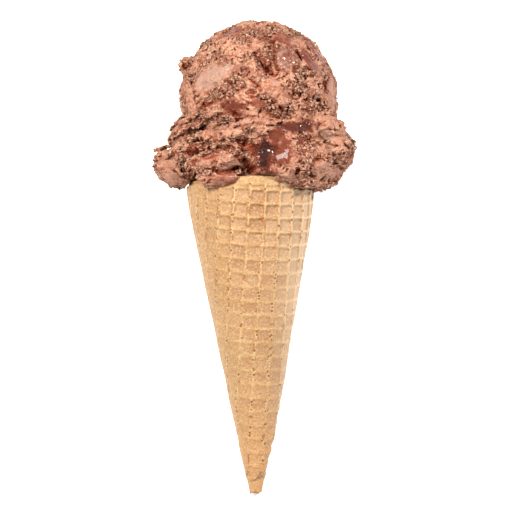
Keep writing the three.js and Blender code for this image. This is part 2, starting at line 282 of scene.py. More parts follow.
def wander(at, size, detail=2.0):
    """Noise from -0.5 to 0.5 in all three directions, to bend a pattern with."""
    values = {"Vector": at, "Scale": 1 / size, "Detail": detail}
    return wire(at.tree, "ShaderNodeTexNoise", values, "Color") - (0.5, 0.5, 0.5)


def cells(at, size):
    """Distance to the middle of the nearest cell, where cells are about as wide as size."""
    values = {"Vector": at, "Scale": 1 / size, "Randomness": 1.0}
    return wire(at.tree, "ShaderNodeTexVoronoi", values, "Distance")


print("helpers:", ", ".join(helper.__name__ for helper in (wire, split, clouds, wander, cells)))

# %% [markdown]
# ## What the ice cream is made of
#
# The scoop is a ball with soft lumps, leaves and tongues pressed round its foot. Each lump is an
# ellipsoid: its middle, its three radii and, for most, its tilt in degrees. They are gathered into pieces
# that part along the natural creases, so that each crease stays a sharp, dark line.

# %% The lumps of each piece
BALL = {
    "ball": ((4, 0, 149.4), (29.3, 28.9, 29.5)),
    "strip_right": ((26.6, -4, 145), (6.3, 12, 12.5), (0, -4, 0)),
    "crumb_left": ((-22.8, -3, 162.4), (3, 3.2, 3.2)),
    "crumb_top": ((-14.6, -3, 169.6), (2.8, 3, 2.6)),
}
COLLAR_LEFT = {
    "collar": ((-4, 0, 131), (24.8, 28.2, 13.2)),
    "lobe_left": ((-27.6, -5, 123.4), (9.1, 11, 6.7), (0, 22, 0)),
    "knob_left": ((-32, -5, 127.6), (4.5, 5, 3.9)),
    "leaf_left": ((-19.2, -8, 137.2), (12, 14, 6.4), (-8, -28, 0)),
    "leaf_left_low": ((-19, -17, 130), (10.5, 9, 3.8), (10, -18, 20)),
}
COLLAR_FRONT = {
    "tongue_front": ((-10.5, -21.5, 124.6), (13, 7.5, 4.6), (6, -9, 0)),
    "tongue_low": ((-11.0, -20.4, 118.4), (8.8, 5.9, 4.0), (0, 4, 0)),
    "drip_front": ((4.5, -21, 124.6), (8, 6.8, 7.6), (0, 20, 0)),
    "fold_upper": ((-3, -20, 139.4), (14.5, 9.5, 4), (-6, 4, 0)),
    "fold_lower": ((-1, -22, 133.6), (15, 9, 3.9), (0, -9, 0)),
    "heart": ((0, -12, 129), (16, 15, 11)),
}
COLLAR_RIGHT = {
    "collar": ((8, 0, 131), (24.8, 28.2, 13.2)),
    "lobe_front_right": ((17.5, -16, 124.2), (13.5, 12.5, 9.6), (0, 4, 0)),
    "hang_front": ((10.5, -21.4, 119.8), (6.5, 5.6, 3.3), (0, 10, 0)),
    "hang_right": ((19, -16.5, 117.6), (7.2, 6.6, 4.2), (0, 8, 0)),
    "lobe_right": ((30.6, -4, 128.4), (9.6, 14, 9), (0, -40, 0)),
    "knob_right": ((27, -8, 119.8), (7.4, 8, 5.6), (0, -12, 0)),
    "leaf_right": ((27, -8, 137), (10.6, 13, 5.6), (0, 22, 0)),
}
COLLAR_BACK = {
    "lobe_back_left": ((-15.5, 15, 127.5), (16, 14, 9.6), (0, 8, 0)),
    "lobe_back_right": ((19, 14.5, 127), (16, 14.5, 10), (0, -8, 0)),
    "lobe_back": ((2.5, 17.5, 133.5), (20, 18.6, 13)),
}
print("lumps:", sum(map(len, (BALL, COLLAR_LEFT, COLLAR_FRONT, COLLAR_RIGHT, COLLAR_BACK))))

# %% [markdown]
# ## Smooth, wet and fudgy places
#
# Some places differ from the torn, grainy rest. Where the scoop's edge has wiped the surface it is
# smooth. Where fudge runs through, it is dark, glossy and a little sunken, and a melted film makes some
# places wet. Each patch is a soft-edged ellipsoid on the front: its middle, its three radii, how far it
# is rolled in degrees, and how much it holds of each.

# %% Smooth and glossy patches
PATCHES = {
    "wiped_left": ((-13.4, -21, 154.2), (9.4, 9, 5.0), -34, {"smooth": 0.9}),
    "wiped_film": ((-9.8, -23, 156.6), (6.0, 7, 3.0), -34, {"smooth": 1.0, "wet": 0.9}),
    "wiped_right": ((31.4, -9, 149), (2.4, 12, 8.5), 4, {"smooth": 0.7}),
    "wiped_far_left": ((-24.5, -8, 155), (1.6, 9, 6), 4, {"smooth": 0.6}),
    "wiped_top": ((0.9, -6, 176.5), (4.5, 8, 1.8), -8, {"smooth": 0.8}),
    "wiped_middle": ((9.8, -27, 151.2), (2.4, 6, 1.2), 10, {"smooth": 0.8}),
    "wiped_low": ((13, -27, 146.5), (4, 6, 2.6), -20, {"smooth": 0.5}),
    "ripple_top": ((-3.8, -15, 172.4), (5.4, 7, 2.6), -14, {"fudge": 0.75}),
    "ripple_top_right": ((14, -19, 169), (4.4, 7, 3.0), 30, {"fudge": 0.8}),
    "pool": ((13.9, -25, 160.6), (4.0, 7, 4.9), 4, {"fudge": 0.62, "smooth": 1, "wet": 0.8}),
    "streak_right": ((22.8, -18, 160.6), (1.9, 9, 6.8), -39, {"fudge": 1.0, "wet": 0.6}),
    "streak_edge": ((25.6, -10, 164.4), (1.8, 9, 7.4), -32, {"fudge": 0.95, "smooth": 1}),
    "streak_red": ((-0.5, -26.5, 155.7), (6.6, 7, 2.2), 22, {"fudge": 0.45}),
    "smear_dark": ((-5.4, -26, 143), (5.0, 6, 2.7), 4, {"fudge": 1.1, "smooth": 0.8}),
    "smear_dark_right": ((3.4, -28, 143.9), (4.2, 6, 1.6), 6, {"fudge": 0.8}),
    "channel": ((17.5, -22, 135.2), (9.4, 8, 2.6), -10, {"fudge": 1.25, "wet": 0.9}),
    "channel_end": ((10.2, -27, 132), (4.4, 6, 2.8), -30, {"fudge": 1.1}),
    "drip": ((5.2, -26.5, 124.6), (1.8, 7, 6.6), 10, {"fudge": 1.9, "smooth": 1}),
    "drip_sides": ((6.0, -26.5, 125.2), (4.4, 7, 7.8), 10, {"fudge": 1.2, "wet": 0.6}),
    "drip_foot": ((7.5, -24, 119.5), (3.2, 6, 1.8), 10, {"fudge": 1.0, "smooth": 1}),
    "red_gloss": ((12, -28, 126), (4.6, 7, 5.4), 0, {"fudge": 1.0}),
    "rim_smear": ((-9.3, -23.5, 116.6), (7.5, 6, 2.8), 0, {"smooth": 0.7, "fudge": 0.65}),
    "leaf_gloss": ((-26, -17, 138), (2.4, 7, 3), -20, {"fudge": 0.5}),
    "leaf_right": ((28.5, -17, 133.5), (5.2, 8, 2.6), 26, {"smooth": 0.85}),
    "stroke_high": ((0.1, -27, 140.2), (7.0, 7, 1.2), 4, {"smooth": 0.65}),
    "stroke_long": ((-1.6, -27, 136.7), (11.0, 7, 1.6), -9, {"smooth": 0.7}),
    "stroke_low": ((-7.7, -27, 133.6), (6.0, 7, 2.2), -12, {"smooth": 0.65}),
    "lobe_left_low": ((-29.5, -12, 118.8), (5.0, 10, 2.4), 10, {"smooth": 0.65}),
    "hang_right": ((14.0, -27, 117.6), (4.6, 8, 2.4), 8, {"smooth": 0.7}),
    "right_low": ((32.0, -12, 119.6), (3.4, 10, 2.8), -30, {"smooth": 0.7}),
    "right_top": ((29.0, -14, 136.6), (4.2, 10, 4.0), 0, {"smooth": 0.6}),
    "block_right": ((26.6, -22, 121), (3.0, 6, 2.0), 0, {"smooth": 0.9}),
    "tongue": ((-6.5, -27, 121.4), (4.0, 6, 1.6), -10, {"smooth": 0.7}),
    "tongue_top": ((-13, -26, 123.6), (8, 6, 2.6), -9, {"smooth": 0.5}),
}
print("patches:", len(PATCHES))

# %% [markdown]
# ## Where the mass tore
#
# The deepest cracks are places where the scoop tore the mass, and where leaves lie over each other. Each
# tear has a width, a depth and the points of its line across the front, in millimetres. A negative depth
# raises a ridge instead. The line is dropped on to the packed ice cream along the camera's view, made
# uneven by noise that is the same each time, and turned into a row of points for the Geometry Nodes.

# %% Tears and ridges
TEARS = {
    "left_long": (0.6, 3.9, (-21.6, 139.4), (-17, 143), (-13.7, 144.3), (-8.8, 146.7)),
    "under_smear": (0.6, 3.6, (-9.6, 143), (-5.2, 140.4), (-0.5, 139.8)),
    "middle_a": (0.6, 3.6, (-1.6, 142.6), (0.2, 139.5), (2.4, 137.1)),
    "middle_b": (0.6, 4.2, (3.2, 142.4), (7.2, 140.1), (12.1, 138.1)),
    "middle_c": (0.5, 2.7, (10.2, 144.5), (12.7, 141.6), (15.6, 140.2)),
    "pits_upper": (0.8, 3.6, (2.8, 160.7), (6.1, 157.6), (10.7, 153.5)),
    "top": (0.6, 3.0, (5.5, 171.7), (7.4, 168.1), (10.3, 166.7)),
    "upper_left": (0.6, 2.7, (-18.4, 159.8), (-16.6, 163.4), (-15.1, 167.4)),
    "edge_right": (0.6, 2.4, (22.5, 167.5), (23.7, 164)),
    "by_pool_right": (0.6, 3.3, (18.1, 163.6), (19.1, 161), (20.1, 158)),
    "by_pool_left": (0.6, 3.0, (9.9, 168), (9.9, 162.2), (10.8, 156.7), (14.1, 155.6)),
    "strip_side": (0.5, 2.7, (27.3, 155.2), (28, 150.7), (28.4, 146)),
    "below_wipe": (0.5, 2.1, (-8, 152.9), (-3.9, 151)),
    "below_red": (0.6, 2.7, (1, 152.7), (3.4, 151.4), (5, 149.7)),
    "fold_a": (0.5, 3.4, (-6.2, 138.2), (0.6, 138.6), (7.4, 138.6)),
    "fold_b": (0.5, 3.0, (-12.4, 134.8), (-4.6, 135.3), (3, 136.4), (9.4, 138.0)),
    "fold_side": (0.6, 3.9, (-12.6, 134.2), (-11.7, 129.4)),
    "big_gap": (1.2, 5.0, (-23.2, 126.1), (-18.1, 127.8)),
    "big_gap_right": (0.6, 4.5, (-18.1, 127.8), (-8.8, 127.5), (-5.8, 129)),
    "knob_gap": (0.8, 4.5, (-29.5, 125.9), (-26.2, 126)),
    "hollow_front": (1.3, 3.8, (-3.8, 130.4), (1, 128.3), (4, 128.8)),
    "tongue_top": (0.5, 2.7, (-17.2, 123.8), (-13.5, 125.1), (-9.9, 126.1)),
    "tongue_under": (0.6, 3.9, (-13.7, 119.8), (-10.1, 119.1), (-6, 119.6), (-2.3, 121.8)),
    "beside_tongue": (1.4, 3.6, (-2.3, 123.3), (-0.1, 120.9), (2, 118.3)),
    "under_left": (1.0, 3.9, (-21.7, 120), (-18.4, 119.4)),
    "curl": (0.6, 3.9, (16.9, 118.3), (17.4, 119.4), (18.8, 119.3), (19.2, 117.9)),
    "dark_hole": (1.2, 4.5, (25.1, 116.7), (26.6, 115.6)),
    "block_top": (0.5, 2.7, (22.2, 122), (24.5, 123.4), (28.2, 122.8)),
    "ridge_a": (0.7, -1.2, (-6.2, 137.2), (0.6, 137.7), (7.4, 137.8)),
    "ridge_b": (0.6, -1.2, (-12.4, 133.7), (-4.6, 134.2), (3, 135.4), (9.4, 137.0)),
    "channel_lip": (0.7, -1.1, (13.4, 133.6), (17.5, 134.2), (21, 135.2), (24.6, 137.6)),
    "streak_lip": (0.6, -1.5, (19.4, 167.4), (24.0, 163.4), (27.4, 158)),
}
TEAR_STEP = 0.5  # between two points of a tear
TEAR_WANDER = 0.45  # how far it strays from its line
TEAR_FADE = 0.3  # share of its length over which it fades at either end
TEAR_END = 0.35  # share of its width and depth that is left at the very end
TEAR_UNEVENNESS = 0.7

icecream_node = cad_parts["ice_cream"]


def onto_ice_cream(across, up):
    """The upright point of the packed ice cream that the camera sees at a place of the front."""
    guess = Vector((across, -26, up))
    start = LAY_DOWN @ EYE
    way = (LAY_DOWN @ guess - start).normalized()
    found, place, _, _ = icecream_node.ray_cast(start, way)
    return LAY_DOWN.inverted() @ place if found else Vector((across, -14, up))


def walk(line, step):
    """Points at even steps along a polyline, and their share of its length."""
    line = np.array(line, float)
    lengths = np.r_[0, np.cumsum(np.linalg.norm(np.diff(line, axis=0), axis=1))]
    count = max(3, math.ceil(lengths[-1] / step) + 1)
    along = np.linspace(0, lengths[-1], count)
    return np.stack([np.interp(along, lengths, line[:, k]) for k in (0, 1)], 1), along / lengths[-1]


def stray(across, up, layer):
    return noise.noise(Vector((across, up, layer)) / 1.6) * TEAR_WANDER


def tear_points():
    """All points of the tears, with a width and a depth for each."""
    places, widths, depths = [], [], []
    for width, depth, *corners in TEARS.values():
        line, shares = walk(corners, TEAR_STEP)
        for (across, up), share in zip(line, shares):
            sideways, upwards = (stray(across, up, layer) for layer in (3.7, 15.3))
            places.append(onto_ice_cream(across + sideways, up + upwards))
            fade = min(1, min(share, 1 - share) / TEAR_FADE + TEAR_END)
            uneven = 1 + TEAR_UNEVENNESS * noise.noise(Vector((across, up, 9.1)) / 1.3)
            widths.append(width * fade * uneven)
            depths.append(depth * fade)
    return places, widths, depths


def tear_mesh():
    places, widths, depths = tear_points()
    mesh = bpy.data.meshes.new("tears")
    mesh.from_pydata(places, [], [])
    mesh.attributes.new("tear_width", "FLOAT", "POINT").data.foreach_set("value", widths)
    mesh.attributes.new("tear_depth", "FLOAT", "POINT").data.foreach_set("value", depths)
    return mesh


TEAR_MESH = tear_mesh()
print("points on tears:", len(TEAR_MESH.vertices))

# %% [markdown]
# ## Sizes of the wafer
#
# The ice cream has to stay clear of the wafer, so the wafer's sizes come first. It is a cone whose sides
# would meet a little below its broken tip, and it flares a little less near the rim.

# %% The wafer's form
CONE_LENGTH = 118
TAPER = 0.1935  # radius gained for each millimetre of height
APEX_DEPTH = 13.3
LIP_START = 98  # above this height the wall curves in
LIP_TUCK = 1.0  # by this much at the rim
WALL = 2.2
GAP = 0.3  # between the ice cream and the wafer
HALF_ANGLE = math.atan(TAPER)
SIN_HALF, COS_HALF = math.sin(HALF_ANGLE), math.cos(HALF_ANGLE)


def cone_radius(height):
    lip = np.clip((height - LIP_START) / (CONE_LENGTH - LIP_START), 0, 1)
    return (height + APEX_DEPTH) * TAPER - LIP_TUCK * lip * lip


print("radius at the rim, mm:", round(float(cone_radius(CONE_LENGTH)), 2))

# %% [markdown]
# ## The ice cream as a field
#
# Torn ice cream has overhangs, pits and cracks, which a skin pushed in and out can't make. A field can: at
# each point of a grid it says how deep that point lies inside the mass, and the surface is drawn where it
# passes through zero. The lumps give the field its form. Noise then eats crags, folds, grains and pits
# out of it, less so on the smooth patches, and the tears are cut in last. A vector that is added to a
# place before its noise is read only picks another stretch of the noise.

# %% Parts of the field
FIELD_BLEND = 1.6  # how softly one lump runs into the next
SWELL = 0.5  # the lumps are drawn this much larger, as pits and crevices only take away
DRAWN_AT = 20.0  # added to the field, so that the surface lies well above the empty grid's zero


def ellipsoid_distance(at, middle, radii, tilt=None):
    """About how far a point lies outside an ellipsoid."""
    local = at - middle
    if tilt:
        values = {"Vector": local, "Rotation": tuple(map(math.radians, tilt))}
        local = wire(at.tree, "ShaderNodeVectorRotate", values, rotation_type="EULER_XYZ", invert=True)
    near = (local / radii).vector("LENGTH")
    slope = (local / tuple(r * r for r in radii)).vector("LENGTH").most(1e-4)
    return (near - 1.0) * near / slope


def joined(at, lumps):
    """Distance outside a set of lumps that run softly into each other."""
    whole = None
    for lump in lumps.values():
        one = ellipsoid_distance(at, *lump)
        whole = one if whole is None else whole.math("SMOOTH_MIN", one, FIELD_BLEND)
    return whole


def patch_masks(at):
    """How smooth, how full of fudge and how wet each point is, from 0 to 1."""
    ragged = (clouds(at, 3.6, detail=4, rough=0.65) - 0.5) * 2.3
    tones = dict.fromkeys(("smooth", "fudge", "wet"))
    for middle, radii, roll, amounts in PATCHES.values():
        values = {"Vector": at - middle, "Axis": (0, 1, 0), "Angle": math.radians(-roll)}
        turned = wire(at.tree, "ShaderNodeVectorRotate", values, rotation_type="AXIS_ANGLE")
        inside = ((turned / radii).vector("LENGTH") + ragged).ramp(1.25, 0.65)
        for kind, amount in amounts.items():
            share = inside * amount
            tones[kind] = share if tones[kind] is None else tones[kind].most(share)
    return tones.values()


def hidden_side_masks(at):
    """Smooth and fudgy patches, strewn by noise over the sides and the back."""
    towards_back = split(at)[1].ramp(-12, 2)
    smooth = clouds(at + (31.0, 5.0, 12.0), 9.0, detail=1).ramp(0.60, 0.66)
    fudge = clouds(at * (1.0, 1.0, 1.9) + (7.0, 44.0, 3.0), 11.0, detail=2, distortion=0.6).ramp(0.64, 0.68)
    return smooth * towards_back, fudge * towards_back


def crags(at, calm):
    """The broad ups and downs of the surface, in millimetres under the lumps, and the ripples of a wipe."""
    wide = (clouds(at, 7.0, detail=2) - 0.5) * calm.ramp(0.0, 1.0, 3.4, 1.6)
    ripples = (clouds(at * (1.0, 1.0, 1.6), 2.6, detail=1) - 0.5) * calm * 1.2
    return wide + ripples


def rough_places(at, calm):
    """Where the surface is crumbly, from 0 to 1."""
    return clouds(at + (2.0, 7.0, 1.0), 8.0, detail=1).ramp(0.42, 0.56) * calm.flipped()


def torn(at, calm, rough, stretch, pitting):
    """How deep cracks, crevices, pits and crumbs go below the crags, in millimetres."""
    pull = wire(at.tree, "ShaderNodeCombineXYZ", (stretch, 1.0, 0.8))
    bent = (at + wander(at, 4.0, detail=1) * 3.0) / pull
    crack = (clouds(bent, 3.8, detail=2, rough=0.5) - 0.5).math("ABSOLUTE")
    some = clouds(at + (9.0, 2.0, 5.0), 6.0, detail=1).ramp(0.43, 0.53)
    cracks = (crack.ramp(0.05, 0.0) * 3.0 - crack.ramp(0.15, 0.06) * 0.6) * some
    wide = clouds(bent + (1.0, 5.0, 9.0), 3.6, detail=3, rough=0.55) - rough * 0.05
    crevices = wide.ramp(0.39, 0.35) * 2.0
    narrow = clouds(bent + (8.0, 3.0, 6.0), 1.5, detail=2, rough=0.5) - rough * 0.06
    pits = narrow.ramp(0.40, 0.34) * 1.1
    crumbs = (clouds(at, 0.9, detail=2, rough=0.6) - 0.5) * (rough * 1.5 + 0.5)
    return (cracks + (crevices + pits) * pitting + crumbs) * calm.ramp(0.0, 1.0, 1.0, 0.08)


FOLD_DIRECTION = (-0.27, 0.0, 0.96)  # across the leaves, which rise a little towards the right
FOLD_THICKNESS = 4.6


def folded(at, calm, fold_height):
    """How far the leaves of the collar step back where one lies over the next, in millimetres."""
    bent = at + wander(at, 7.0) * 8.0
    layer = bent.vector("DOT_PRODUCT", FOLD_DIRECTION) / FOLD_THICKNESS + clouds(at, 16.0, detail=1) * 3.4
    step = layer.math("FRACT")
    some = clouds(at + (3.0, 8.0, 1.0), 12.0, detail=1).ramp(0.40, 0.58, 0.25, 1.0)
    some = some * split(at)[2].ramp(121, 129, 0.15, 1.0)
    return step * step * fold_height * some * calm.ramp(0.0, 1.0, 1.0, 0.3)


def attribute_value(tree, name, data_type="FLOAT"):
    return wire(tree, "GeometryNodeInputNamedAttribute", {"Name": name}, data_type=data_type)


TEAR_SECTION = (1.0, 0.3, 1.0)  # a tear is a narrow wall that runs in along the view


def tear_cut(at, tears):
    """How much the nearest tear takes away at each point."""
    values = {0: tears, "Sample Position": at}
    nearest = wire(at.tree, "GeometryNodeSampleNearest", values, domain="POINT")

    def sampled(value, data_type="FLOAT"):
        values = {0: tears, "Value": value, "Index": nearest}
        return wire(at.tree, "GeometryNodeSampleIndex", values, data_type=data_type, domain="POINT")

    place = wire(at.tree, "GeometryNodeInputPosition")
    gap = ((at - sampled(place, "FLOAT_VECTOR")) * TEAR_SECTION).vector("LENGTH")
    reach = gap / sampled(attribute_value(at.tree, "tear_width")).most(0.05)
    return (reach * reach * -1.0).math("EXPONENT") * sampled(attribute_value(at.tree, "tear_depth"))


def outside_wafer(at):
    """Distance outside the wafer, which is taken as a full cone."""
    x, y, z = split(at)
    from_axis = (x * x + y * y).math("SQRT")
    beside = from_axis - z * TAPER - (APEX_DEPTH * TAPER + GAP - LIP_TUCK)
    return beside.most(z - (CONE_LENGTH + GAP))


def above_table(at):
    return at.vector("DOT_PRODUCT", tuple(TABLE_NORMAL)) + TABLE_DROP


SPLIT_DEPTH = 1.0  # the ball is drawn in two halves, which part along a crack at its side


def behind_split(at):
    """How far a point lies behind the uneven crack between the ball's two halves."""
    return split(at)[1] + (clouds(at, 6.0, detail=2) - 0.5) * 7.0 - SPLIT_DEPTH


print("the surface is drawn at", DRAWN_AT)

# %% [markdown]
# ## One tree for every piece of ice cream
#
# Each piece gets its own copy of the tree, because each has its own lumps. The tree reads the tears, fills
# a grid with the field, draws the surface, throws away loose scraps, writes down how smooth, fudgy, wet,
# deep and rough each vertex is, and lays the result down in metres.

# %% Build the tree
DRAWN_LOOSELY = 0.15  # how readily flat stretches of the surface get fewer faces


def new_tree(name, inputs):
    """A new tree, its inputs as wires, and its exit."""
    tree = bpy.data.node_groups.new(name, "GeometryNodeTree")
    tree.interface.new_socket(name="Geometry", in_out="INPUT", socket_type="NodeSocketGeometry")
    tree.interface.new_socket(name="Geometry", in_out="OUTPUT", socket_type="NodeSocketGeometry")
    for label, kind in inputs.items():
        tree.interface.new_socket(name=label, in_out="INPUT", socket_type=f"NodeSocket{kind}")
    entry = tree.nodes.new("NodeGroupInput")
    given = {label: Wire(tree, entry.outputs[label]) for label in ("Geometry", *inputs)}
    return tree, given, tree.nodes.new("NodeGroupOutput")


def stored(mesh, **values):
    """The mesh with named values written on its vertices."""
    for name, value in values.items():
        inputs = {"Geometry": mesh, "Name": name, "Value": value}
        mesh = wire(mesh.tree, "GeometryNodeStoreNamedAttribute", inputs, data_type="FLOAT", domain="POINT")
    return mesh


def largest_body(mesh):
    """The mesh without the scraps that float beside it and the bubbles inside it."""
    tree = mesh.tree
    island = wire(tree, "GeometryNodeInputMeshIsland")
    values = {"Value": 1, "Group ID": island}
    size = wire(tree, "GeometryNodeAccumulateField", values, "Total", data_type="INT", domain="FACE")
    values = {"Geometry": mesh, "Attribute": size}
    most = wire(tree, "GeometryNodeAttributeStatistic", values, "Max", data_type="FLOAT", domain="FACE")
    is_scrap = size.math("LESS_THAN", most - 0.5)
    values = {"Geometry": mesh, "Selection": is_scrap}
    return wire(tree, "GeometryNodeDeleteGeometry", values, domain="FACE")


def finished(mesh, material, exit_node):
    """The end of every tree: the mesh is shaded smooth and given its material."""
    tree = mesh.tree
    mesh = wire(tree, "GeometryNodeSetShadeSmooth", {"Geometry": mesh})
    mesh = wire(tree, "GeometryNodeRealizeInstances", (mesh,))
    mesh = wire(tree, "GeometryNodeSetMaterial", {"Geometry": mesh, "Material": material})
    tree.links.new(mesh.socket, exit_node.inputs[0])
    return tree


def laid_down(mesh, material, exit_node):
    """The end of a tree that works upright in millimetres: it is laid down in metres as well."""
    values = {"Geometry": mesh, "Translation": TIP_PLACE, "Rotation": LAY_TURN, "Scale": (0.001,) * 3}
    return finished(wire(mesh.tree, "GeometryNodeTransform", values), material, exit_node)


def ice_cream_tree(name, lumps, material, half):
    """The tree of one piece. Half is 1 for the ball's front half, -1 for its back half and 0 elsewhere."""
    inputs = dict.fromkeys(("Low corner", "High corner"), "Vector")
    inputs |= dict.fromkeys(("Voxel", "Stretch", "Pitting", "Fold height"), "Float")
    tree, given, exit_node = new_tree(name, inputs)
    tears, low, high, voxel, stretch, pitting, fold_height = given.values()
    counts = split((high - low) / wire(tree, "ShaderNodeCombineXYZ", [voxel] * 3))
    at = wire(tree, "GeometryNodeInputPosition")

    smooth, fudge, wet = patch_masks(at)
    smooth_behind, fudge_behind = hidden_side_masks(at)
    smooth, fudge = smooth.most(smooth_behind), fudge.most(fudge_behind)
    calm = smooth.most(fudge.least(0.85))
    rough = rough_places(at, calm)
    sunk = torn(at, calm, rough, stretch, pitting) + tear_cut(at, tears)
    skin = joined(at, lumps) - SWELL + crags(at, calm) + sunk + folded(at, calm, fold_height)
    surface = skin.most(outside_wafer(at) * -1.0).most(above_table(at) * -1.0)
    if half:
        surface = surface.most(behind_split(at) * float(half))

    values = {"Density": (surface * -1.0 + DRAWN_AT).most(0.0), "Min": low, "Max": high}
    values |= {f"Resolution {axis}": count for axis, count in zip("XYZ", counts)}
    values = {"Volume": wire(tree, "GeometryNodeVolumeCube", values), "Threshold": DRAWN_AT}
    mesh = wire(tree, "GeometryNodeVolumeToMesh", {**values, "Adaptivity": DRAWN_LOOSELY})
    mesh = stored(largest_body(mesh), smooth=smooth, fudge=fudge, wet=wet, sunk=sunk, rough=rough)
    return laid_down(mesh, material, exit_node)


def apply_tree(name, mesh, tree, values):
    """The plain mesh that a tree makes from a mesh, as a new object at the origin."""
    source = bpy.data.objects.new(name, mesh)
    scene.collection.objects.link(source)
    modifier = source.modifiers.new(name, "NODES")
    modifier.node_group = tree
    labels = {item.name: item.identifier for item in tree.interface.items_tree if item.in_out == "INPUT"}
    for label, value in values.items():
        modifier[labels[label]] = value
    graph = bpy.context.evaluated_depsgraph_get()
    result = bpy.data.meshes.new_from_object(source.evaluated_get(graph), depsgraph=graph)
    bpy.data.objects.remove(source)
    made = bpy.data.objects.new(name, result)
    scene.collection.objects.link(made)
    return made


print("helpers ready")

# %% [markdown]
# ## Finishes: the ice cream
#
# Chocolate ice cream is pale where it is full of air and light, and nearly black-brown where fudge runs
# through. Shade is painted into its pits and cracks, darker and redder the deeper they go, and highlights
# are painted on its raised grains. The values that the tree wrote on the vertices steer this.
# Light also sinks a little way in before it comes out, so the finish has some subsurface scattering.

# %% The ice cream's finish


def new_material(name):
    material = bpy.data.materials.new(name)
    material.use_nodes = True
    return material, material.node_tree, material.node_tree.nodes["Principled BSDF"]


def mixed(share, low, high):
    """A colour between two, by a share from 0 to 1. Either may be a plain colour."""
    low, high = (colour if isinstance(colour, Wire) else (*colour, 1) for colour in (low, high))
    return wire(share.tree, "ShaderNodeMix", {0: share, 6: low, 7: high}, 2, data_type="RGBA")


def vertex_value(tree, name):
    return wire(tree, "ShaderNodeAttribute", key="Fac", attribute_name=name)


PALE_CHOCOLATE = (0.388, 0.194, 0.128)
CHOCOLATE = (0.315, 0.126, 0.075)
HIGHLIGHT_CHOCOLATE = (0.61, 0.385, 0.258)
CREVICE_SHADE_CHOCOLATE = (0.26, 0.055, 0.025)
PIT_SHADE_CHOCOLATE = (0.085, 0.007, 0.002)
WIPED_CHOCOLATE = (0.35, 0.218, 0.168)
RED_FUDGE = (0.15, 0.034, 0.017)
DARK_FUDGE = (0.036, 0.009, 0.006)


def ice_cream_material():
    material, tree, shader = new_material("chocolate ice cream")
    at = wire(tree, "ShaderNodeTexCoord", key="Object") * 1000.0
    names = ("smooth", "fudge", "wet", "sunk", "rough")
    smooth, fudge, wet, sunk, rough = (vertex_value(tree, name) for name in names)
    calm = smooth.most(fudge).least(1.0)
    airy = clouds(at, 3.0, detail=3, rough=0.6).ramp(0.34, 0.66)
    fine = clouds(at, 0.85, detail=2, rough=0.75)
    grain = cells(at + wander(at, 1.5, detail=1) * 1.8, 1.15)
    body = mixed(airy, CHOCOLATE, PALE_CHOCOLATE)
    speckle = calm.ramp(0.0, 1.0, 1.0, 0.15) * rough.ramp(0.0, 1.0, 0.45, 1.0)
    # Painted highlight: raised grains and crumb tops are made paler, as if lit from above.
    painted_highlight = (sunk * -0.4 + (fine - 0.5) * 2.0).ramp(-0.04, 0.24, 0.0, 0.85) * speckle
    body = mixed(painted_highlight, body, HIGHLIGHT_CHOCOLATE)
    body = mixed(smooth.ramp(0.45, 1.0, 0.0, 0.62), body, WIPED_CHOCOLATE)
    # Painted shade: the deeper the torn surface sinks, the darker and redder it is painted.
    body = mixed(sunk.ramp(0.3, 1.8, 0.0, 0.85), body, CREVICE_SHADE_CHOCOLATE)
    # Painted shade: fine pits, grain hollows and the deepest tears are painted nearly black-red.
    pits = fine.ramp(0.46, 0.37, 0.0, 0.85) * speckle
    pits = pits.most(grain.ramp(0.44, 0.68) * rough * 0.6)
    body = mixed(pits.most(sunk.ramp(1.1, 3.2, 0.0, 0.93)), body, PIT_SHADE_CHOCOLATE)
    body = mixed((fudge + (airy - 0.5) * 0.5).ramp(0.1, 1.0), body, RED_FUDGE)
    body = mixed(fudge.ramp(0.85, 1.5), body, DARK_FUDGE)
    gloss = fudge.most(smooth.ramp(0.6, 1.0)).least(1.0)
    height = fine * (speckle * 0.8 + 0.12) - grain * rough * 0.9
    height = height + clouds(at * (1.0, 1.0, 1.7), 1.5, detail=2) * calm * 0.8
    height = height + clouds(at * (1.0, 1.0, 0.6), 0.9, detail=1) * wet
    relief = {"Height": height, "Distance": 0.0011, "Strength": 1.0}
    values = {
        "Base Color": body,
        "Roughness": gloss.ramp(0.0, 1.0, 0.55, 0.30) + (clouds(at, 0.8, detail=1) - 0.5) * 0.3,
        "Specular IOR Level": 0.05,
        "Coat Weight": gloss.ramp(0.2, 0.9, 0.0, 0.2).most(wet.ramp(0.2, 1.0, 0.0, 0.75)),
        "Coat Roughness": 0.11,
        "Subsurface Weight": 0.1,
        "Subsurface Radius": (1.0, 0.45, 0.28),
        "Subsurface Scale": 0.0012,
        "Normal": wire(tree, "ShaderNodeBump", relief),
    }
    set_inputs(shader, values)
    return material


ICE_CREAM = ice_cream_material()
print("finish:", ICE_CREAM.name)

# %% [markdown]
# ## The pieces of ice cream
#
# The ball is drawn as a front and a back half, and the collar as four parts. Each is drawn on its own grid,
# fine enough for the crumbly grain at the front and a little coarser at the back. The collar was dragged
# sideways by the scoop's edge, so its cracks are stretched and its leaves lie in folds, while the ball is
# more pitted.

# %% Draw the pieces
COARSENESS = 1.0
VOXEL = 0.505  # one step of the grid, mm
DRAGGED = {"Stretch": 1.5, "Pitting": 0.65}
PITTED = {"Stretch": 1.0, "Pitting": 1.05}
PIECES = {
    "scoop_front": {"lumps": BALL, "low": (-29, -33, 121), "high": (37, 7, 184), "voxel": 0.475, "half": 1},
    "scoop_back": {"lumps": BALL, "low": (-29, -6, 121), "high": (37, 31, 184), "voxel": 0.50, "half": -1},
    "collar_left": {"lumps": COLLAR_LEFT, "low": (-40, -33, 112), "high": (22, 31, 147), "fold": 3.6},
    "collar_front": {"lumps": COLLAR_FRONT, "low": (-26, -34, 112), "high": (20, 6, 147), "fold": 2.6},
    "collar_right": {"lumps": COLLAR_RIGHT, "low": (-18, -32, 110), "high": (43, 31, 147), "fold": 2.0},
    "collar_back": {"lumps": COLLAR_BACK, "low": (-34, -4, 112), "high": (38, 40, 149), "fold": 2.4},
}


